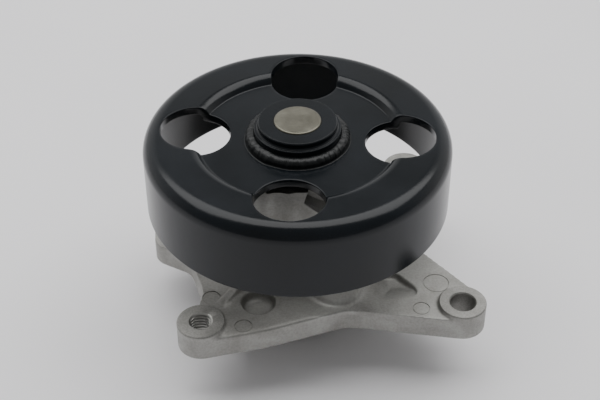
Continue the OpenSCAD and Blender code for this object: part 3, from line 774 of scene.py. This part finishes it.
def cast_housing():
    """Recast with bores plugged and stock on the tooled faces, then softened, faced, drilled and tapped."""
    stock, bore_plug_r, hole_plug_r = 0.7, 19.3, 5.0
    plugs = [drill((0, 0, SEAL_FACE_Z - stock), (0, 0, NECK_Z + stock), bore_plug_r, 96)]
    for x, y in PLAIN_BOSSES + (LEFT_BOSS,):
        plugs.append(drill((x, y, -stock), (x, y, BOSS_Z + stock), hole_plug_r))
    lift = {BOSS_Z: stock, 0.0: -stock, NECK_Z: stock, SEAL_FACE_Z: -stock}
    plugs.append(drill(*RECESS_LIP, 24))
    piece = recast("cast_housing", "housing", 0.4, 7, plugs, lift)
    slope_recess(piece)
    relax_zones(piece)

    lead_r, lead_z, neck_break = 19.7, -3.2, 0.5
    shaft_tool = [
        (0, -8), (lead_r, -8), (lead_r, lead_z), (CUP_R, lead_z), (CUP_R, SEAL_BORE_TOP),
        (CHAMBER_R, SEAL_BORE_TOP), (CHAMBER_R, RING_BOTTOM), (RING_R, RING_BOTTOM),
        (RING_R, NECK_Z - neck_break), (RING_R + neck_break, NECK_Z),
        (NECK_R + 4, NECK_Z), (NECK_R + 4, NECK_Z + 5), (0, NECK_Z + 5)
    ]
    edge_break, over, plate_reach = 0.4, 0.8, 95
    spigot_tool = [
        (18.5, -9), (18.5, SEAL_FACE_Z), (SEAL_BOSS_R - edge_break, SEAL_FACE_Z),
        (SEAL_BOSS_R + over, SEAL_FACE_Z + edge_break + over), (SEAL_BOSS_R + over, 0),
        (plate_reach, 0), (plate_reach, -9)
    ]
    cut(piece, relief_tool())
    cut(piece, turned("shaft_tool", shaft_tool, 0, 160))
    cut(piece, turned("spigot_tool", spigot_tool, 0, 160))
    for centre in PLAIN_BOSSES:
        cut(piece, boss_tool(centre, BOLT_HOLE_R))
    cut(piece, boss_tool(LEFT_BOSS, 0))
    cut(piece, thread_tool())
    aim = Vector(LEAK_POCKET).normalized()
    leak_z = (SEAL_BORE_TOP + RING_BOTTOM) / 2
    cut(piece, drill((aim.x * 5, aim.y * 5, leak_z), (aim.x * 36, aim.y * 36, leak_z), LEAK_HOLE_R))
    groove_z, groove_w = PLATE_T - 0.36, 0.22
    for x, y, r, depth in EJECTOR_MARKS:
        disc_r, disc_z, above = r - groove_w, PLATE_T - depth, PLATE_T + 2
        witness = [(0, disc_z), (disc_r, disc_z), (disc_r, groove_z), (r, groove_z), (r, above), (0, above)]
        cut(piece, turned("pin_mark", witness, 0, 72, (x, y)))

    mesh = piece.data
    mesh.materials.clear()
    for material in (DIE_CAST, MILLED, TAPPED):
        mesh.materials.append(material)
    # a face is tooled when it lies flat on a faced level, in or around a bore, or on the spigot
    for face in mesh.polygons:
        x, y, z = (c / MM for c in face.center)
        n = face.normal
        off_axis = math.hypot(x, y)
        flat_levels = ((BOSS_Z, 1), (0.0, -1), (NECK_Z, 1), (SEAL_FACE_Z, -1))
        tooled = any(abs(z - level) < 0.02 and n.z * side > 0.99 for level, side in flat_levels)
        near = min(math.hypot(x - bx, y - by) for bx, by in PLAIN_BOSSES + (LEFT_BOSS,))
        tooled = tooled or near < BOLT_HOLE_R + 0.45 or (near < BOSS_R + 0.1 and z > BOSS_Z - 0.6)
        tooled = tooled or (off_axis < 19.72 and abs(n.z) < 0.9) or (off_axis < SEAL_BOSS_R + 0.1 and z < 0)
        threaded = math.hypot(x - LEFT_BOSS[0], y - LEFT_BOSS[1]) < TAP_MAJOR_R + 0.1
        face.material_index = 2 if threaded else int(tooled)
    mesh.shade_smooth()
    mesh.set_sharp_from_angle(angle=math.radians(34))
    fix(piece, "pump_body", ["housing"])


def distance_to(x, y, ends):
    """Millimetres from a point to the line between two ends."""
    (ax, ay), (bx, by) = ends
    along = ((x - ax) * (bx - ax) + (y - ay) * (by - ay)) / ((bx - ax) ** 2 + (by - ay) ** 2)
    along = max(0.0, min(1.0, along))
    return math.hypot(x - ax - along * (bx - ax), y - ay - along * (by - ay))


def fade(value):
    """0 to 1 with a soft start and end."""
    value = max(0.0, min(1.0, value))
    return value * value * (3 - 2 * value)


def slope_recess(piece):
    """Lets the recess floor rise to the plate along its left and front sides."""
    for vertex in piece.data.vertices:
        x, y, z = (c / MM for c in vertex.co)
        if not 3 < z < PLATE_T - 0.03 or vertex.normal.z < -0.1:
            continue
        sides = [(RECESS[i], RECESS[(i + 1) % 4]) for i in range(4)]
        turns = [(bx - ax) * (y - ay) - (by - ay) * (x - ax) for (ax, ay), (bx, by) in sides]
        if max(turns) > 14:
            continue
        keep = min(fade(distance_to(x, y, (a, b)) / reach) for a, b, reach in RUN_OUT)
        vertex.co.z = (PLATE_T - (PLATE_T - z) * keep) * MM


def relax_zones(piece):
    """Softens the left arm's front edge, the foot, the leak pocket, the left rib and the front recess."""
    arm = ((-25.0, -51.4), (2.0, -42.7))
    rib = ((-15.0, -21.0), (-26.5, -37.2))
    foot = (12.6, -28.4)
    broad = piece.vertex_groups.new(name="broad")
    middle = piece.vertex_groups.new(name="middle")
    narrow = piece.vertex_groups.new(name="narrow")
    for vertex in piece.data.vertices:
        x, y, z = (c / MM for c in vertex.co)
        wide, around = 0.0, 0.0
        if z > 3.0:
            around = fade((5.5 - distance_to(x, y, arm)) / 4) * fade((z - 3.0) / 2.5)
        if 5 < z < 24:
            around = max(around, fade((15 - math.hypot(x - foot[0], y - foot[1])) / 4))
            around = max(around, fade((6 - distance_to(x, y, rib)) / 3))
        if around > 0.01:
            middle.add([vertex.index], around, "REPLACE")
        if 3 < z < 7.7:
            wide = fade((6.8 - math.hypot(x - LEAK_POCKET[0], y - LEAK_POCKET[1])) / 1.5)
        if wide > 0.01:
            broad.add([vertex.index], wide, "REPLACE")
        if 4 < z < 11:
            near = min(distance_to(x, y, (RECESS[i], RECESS[(i + 1) % 4])) for i in range(4))
            if near < 4.5:
                narrow.add([vertex.index], fade((4.5 - near) / 2), "REPLACE")
    for group, rounds in (("broad", 120), ("middle", 42), ("narrow", 24)):
        relax = piece.modifiers.new("relax_" + group, "SMOOTH")
        relax.factor = 0.5
        relax.iterations = rounds
        relax.vertex_group = group
    settle(piece)
    piece.vertex_groups.clear()


# ---------------------------------------------------------------- bearing, seal and impeller
def bearing_parts():
    """Outer ring, drawn with one plain race, and a dished lip seal in each end's rebate."""
    rebate_depth, seal_t = 2, 1.95
    bead, lip, outside = SHAFT_R + 0.06, 0.5, REBATE_R - 0.02
    ring = [
        (RING_R, RING_BOTTOM), (RING_R, RING_TOP), (REBATE_R, RING_TOP), (REBATE_R, RING_TOP - rebate_depth),
        (RACE_R, RING_TOP - rebate_depth), (RACE_R, RING_BOTTOM + rebate_depth),
        (REBATE_R, RING_BOTTOM + rebate_depth), (REBATE_R, RING_BOTTOM)
    ]
    piece = as_piece("bearing_ring", turned("bearing_ring", ring, 0.3), BEARING_STEEL)
    weigh_normals(piece)
    fix(piece, "pump_body", ["bearing_outer_ring"])
    for name, node, low, faces_front in (
        ("front_lip_seal", "front_bearing_seal", RING_TOP - rebate_depth, True),
        ("rear_lip_seal", "rear_bearing_seal", RING_BOTTOM + rebate_depth - seal_t, False),
    ):
        top = low + seal_t
        dish = [
            (bead, low + 0.3), (bead + lip, low), (outside, low), (outside, top), (RACE_R - 0.6, top),
            (RACE_R - 1.0, top - 0.35), (bead + 1.2, top - 0.35), (bead + 0.9, top), (bead + lip, top),
            (bead, top - 0.4)
        ]
        if not faces_front:
            dish = [(r, low + top - z) for r, z in reversed(dish)]
        seal = as_piece(name, turned(name, dish, 0.1), RUBBER)
        weigh_normals(seal)
        fix(seal, "pump_body", [node])


def seal_parts():
    """Face seal: cup, bellows, spring, carbon ring in its holder, seat ring in its boot, and the sleeve.

    The thrower disc and the impeller's bush are turned here too.
    """
    hole = SLEEVE_R + 1.0
    skin = SLEEVE_R + 2.4
    bore = SLEEVE_R + 1.2
    outer = SEAT_R + 1.4
    nose_r = FACE_R - 1.22
    sheet = 0.7
    lip_z = SEAT_Z + SEAT_T - 1
    slinger_z = SEAL_BORE_TOP + 1
    parts = (
        ("pressed_seal_cup", "seal_cup", "pump_body", BRASS, "brass_sheet", 0.35, [
            (CUP_R + 1.3, SEAL_FACE_Z), (CUP_R + 1.3, SEAL_FACE_Z + CUP_T), (CUP_R, SEAL_FACE_Z + CUP_T),
            (CUP_R, CUP_TOP), (hole, CUP_TOP), (hole, CUP_FLOOR), (CUP_R - CUP_T, CUP_FLOOR),
            (CUP_R - CUP_T, SEAL_FACE_Z)]),
        ("carbon_face_ring", "carbon_ring", "seal_head", CARBON, "carbon_graphite", 0.12, [
            (SLEEVE_R + 1.4, CARBON_Z), (nose_r, CARBON_Z), (nose_r, CARBON_Z + 1),
            (FACE_R, CARBON_Z + 1), (FACE_R, CARBON_Z + CARBON_T), (SLEEVE_R + 1.4, CARBON_Z + CARBON_T)]),
        ("pressed_carbon_holder", "carbon_ring_holder", "seal_head", BRASS, "brass_sheet", 0.2, [
            (FACE_R + 0.05, CARBON_Z + 1.4), (FACE_R + 0.65, CARBON_Z + 1.4), (FACE_R + 0.65, HOLDER_TOP),
            (SLEEVE_R + 1.8, HOLDER_TOP), (SLEEVE_R + 1.8, HOLDER_TOP - 0.6),
            (FACE_R + 0.05, HOLDER_TOP - 0.6)]),
        ("ceramic_seat", "seat_ring", "rotor", CERAMIC, "seat_ceramic", 0.15, [
            (hole, SEAT_Z), (SEAT_R, SEAT_Z), (SEAT_R, SEAT_Z + SEAT_T), (hole, SEAT_Z + SEAT_T)]),
        ("seat_cushion", "seat_boot", "rotor", RUBBER, "seal_rubber", 0.2, [
            (SLEEVE_R, SEAT_Z - 1.4), (outer, SEAT_Z - 1.4), (outer, lip_z), (SEAT_R, lip_z),
            (SEAT_R, SEAT_Z), (hole, SEAT_Z), (hole, lip_z), (SLEEVE_R, lip_z)]),
        ("flanged_sleeve", "seal_sleeve", "rotor", STAINLESS, "stainless_sheet", 0.3, [
            (SHAFT_R, CUP_FLOOR + 0.5), (SHAFT_R, FLANGE_Z), (outer + sheet, FLANGE_Z),
            (outer + sheet, SEAT_Z + 0.8), (outer, SEAT_Z + 0.8), (outer, FLANGE_Z + sheet),
            (SLEEVE_R, FLANGE_Z + sheet), (SLEEVE_R, CUP_FLOOR + 0.5)]),
        ("thrower_disc", "slinger", "rotor", STAINLESS, "stainless_sheet", 0.2, [
            (SHAFT_R, slinger_z), (SHAFT_R + 0.9, slinger_z), (SHAFT_R + 0.9, slinger_z + 1.2),
            (CHAMBER_R - 1, slinger_z + 1.2), (CHAMBER_R - 1, slinger_z + 2), (SHAFT_R, slinger_z + 2)]),
        ("impeller_hub_bush", "impeller_bush", "rotor", IMPELLER_STEEL, "impeller_steel", 0.4, [
            (SPINDLE_R, IMPELLER_LOW + 2), (BUSH_R, IMPELLER_LOW + 2), (BUSH_R, SPINDLE_Z),
            (SPINDLE_R, SPINDLE_Z)]),
    )
    for name, node, body, material, slot, radius, outline in parts:
        piece = as_piece(name, turned(name, outline, radius), material)
        weigh_normals(piece)
        fix(piece, body, [node])

    foot_gap = 0.02  # keeps the foot off the holder at every point of the travel
    outside = CUP_R - CUP_T - 2.6
    fold = [
        (bore, CUP_FLOOR), (bore, HOLDER_TOP + 1.9), (bore + 0.5, HOLDER_TOP + 1.2), (bore, HOLDER_TOP + 0.7),
        (bore + 0.6, HOLDER_TOP + foot_gap), (FACE_R + 0.6, HOLDER_TOP + foot_gap),
        (FACE_R + 0.6, HOLDER_TOP + 1), (skin + 0.6, HOLDER_TOP + 1), (skin + 0.1, HOLDER_TOP + 1.8),
        (skin, CUP_FLOOR - 1), (outside, CUP_FLOOR - 1), (outside, CUP_FLOOR)
    ]
    bellows = as_piece("rubber_bellows", turned("rubber_bellows", fold, 0.3), RUBBER)
    fix(bellows, "pump_body", ["seal_bellows"])
    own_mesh(bellows)

    wire_r, coil_r, pitch = 0.45, CUP_R - CUP_T - 3.2, 2.4 * 0.45
    low = HOLDER_TOP + wire_r + 0.1
    rise = CUP_FLOOR - 1.1 - wire_r - low
    turns = rise / pitch
    sides, steps = 16, round(turns * 72)
    points, faces = [], []
    for i in range(steps + 1):
        a = 2 * math.pi * turns * i / steps
        for k in range(sides):
            b = 2 * math.pi * k / sides
            r = coil_r + wire_r * math.cos(b)
            points.append((r * math.cos(a), r * math.sin(a), low + rise * i / steps + wire_r * math.sin(b)))
    for i in range(steps):
        for k in range(sides):
            j = (k + 1) % sides
            faces.append((i * sides + k, i * sides + j, (i + 1) * sides + j, (i + 1) * sides + k))
    faces += [tuple(range(sides)), tuple(range(steps * sides, (steps + 1) * sides))]
    spring = as_piece("coil_spring", solid("coil_spring", points, faces), SPRING_STEEL)
    fix(spring, "pump_body", ["seal_spring"])
    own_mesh(spring)


def pressed_impeller():
    """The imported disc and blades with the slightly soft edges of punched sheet."""
    piece = recast("pressed_impeller", "impeller", 0.22, 3)
    piece.data.materials.clear()
    piece.data.materials.append(IMPELLER_STEEL)
    fix(piece, "rotor", ["impeller"])


def rolling_parts():
    """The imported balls, rollers and cages keep their shape and take their finish."""
    finishes = {
        "bearing_balls": BEARING_STEEL, "bearing_rollers": BEARING_STEEL,
        "ball_cage": CAGE_NYLON, "roller_cage": CAGE_NYLON,
    }
    for node, material in finishes.items():
        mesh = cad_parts[node].data
        mesh.materials.clear()
        mesh.materials.append(material)


# ---------------------------------------------------------------- stage
def studio_floor():
    """Matt pale grey card, very slightly uneven in tone."""
    material, tree, surface, place = start("pale_card", Roughness=0.75)
    tone = add(tree, "ShaderNodeTexNoise", {"Vector": place}, Scale=per_mm(160), Detail=2.0)
    colour = add(tree, "ShaderNodeValToRGB", {"Fac": tone.outputs["Fac"]}, stops=[
        (0.35, paint("#edecee")), (0.65, paint("#f1f0f2"))
    ]).outputs["Color"]
    tree.links.new(colour, surface.inputs["Base Color"])
    mesh = bpy.data.meshes.new("floor")
    half = 4.0
    z = FLOOR_Z * MM
    corners = [(-half, -half, z), (half, -half, z), (half, half, z), (-half, half, z)]
    mesh.from_pydata(corners, [], [(0, 1, 2, 3)])
    as_piece("floor", mesh, material)


def softbox(name, place, aim, width, depth, power):
    """A lit rectangle, sizes in metres and power in watts, turned towards aim."""
    light = bpy.data.lights.new(name, "AREA")
    light.shape = "RECTANGLE"
    light.size = width
    light.size_y = depth
    light.energy = power
    lamp = bpy.data.objects.new(name, light)
    bpy.context.scene.collection.objects.link(lamp)
    lamp.location = place
    lamp.rotation_euler = (Vector(aim) - Vector(place)).to_track_quat("-Z", "Y").to_euler()


def studio_lights():
    """A wide softbox overhead, a lit paper backdrop low down behind, dim walls at the sides and in front."""
    softbox("overhead", (0.0, 0.5, 1.5), (0, 0.15, 0), 3.0, 1.3, 46.0)
    world = bpy.data.worlds.new("studio")
    bpy.context.scene.world = world
    world.use_nodes = True
    tree = world.node_tree
    walls = tree.nodes["Background"]
    place = add(tree, "ShaderNodeTexCoord")
    way = add(tree, "ShaderNodeSeparateXYZ", {0: place.outputs["Generated"]})
    paper = add(tree, "ShaderNodeValToRGB", {"Fac": way.outputs["Z"]}, stops=[
        (0.0, grey(0.7)), (0.53, grey(0.64)), (0.59, grey(0.33)), (0.64, grey(0.16)), (0.69, grey(0.06))
    ]).outputs["Color"]
    behind = add(tree, "ShaderNodeMapRange", {"Value": way.outputs["Y"]}, From_Min=-0.3, From_Max=0.35)
    part_behind = behind.outputs["Result"]
    shade = add(tree, "ShaderNodeMixRGB", {"Fac": part_behind, "Color2": paper}, Color1=grey(0.18))
    tree.links.new(shade.outputs["Color"], walls.inputs["Color"])
    walls.inputs["Strength"].default_value = 1.4
    seen = add(tree, "ShaderNodeBackground", Color=paint("#d8d7d8"), Strength=1.0)
    path = add(tree, "ShaderNodeLightPath").outputs["Is Camera Ray"]
    pick = add(tree, "ShaderNodeMixShader", {0: path, 1: walls.outputs[0], 2: seen.outputs[0]})
    tree.links.new(pick.outputs[0], tree.nodes["World Output"].inputs["Surface"])


def camera():
    """Looks down at the pump from in front, 39 degrees above the floor."""
    pitch, roll, distance = math.radians(39.2), math.radians(-0.208), 419.4 * MM
    target = Vector((0.74, -16.15, 36.66)) * MM
    ahead = Vector((0, math.cos(pitch), -math.sin(pitch)))
    right = Vector((1, 0, 0))
    up = Vector((0, math.sin(pitch), math.cos(pitch)))
    across = right * math.cos(roll) + up * math.sin(roll)
    upright = up * math.cos(roll) - right * math.sin(roll)
    placing = Matrix((across, upright, -ahead)).transposed().to_4x4()
    placing.translation = target - ahead * distance
    lens = bpy.data.cameras.new("camera")
    lens.lens = 75.68
    lens.sensor_width = 36
    lens.clip_start = 0.01
    viewer = bpy.data.objects.new("camera", lens)
    bpy.context.scene.collection.objects.link(viewer)
    viewer.matrix_world = placing
    bpy.context.scene.camera = viewer


camera()
pressed_pulley()
turned_hub()
weld_bead()
ground_shaft()
cast_housing()
bearing_parts()
seal_parts()
pressed_impeller()
rolling_parts()
studio_floor()
studio_lights()
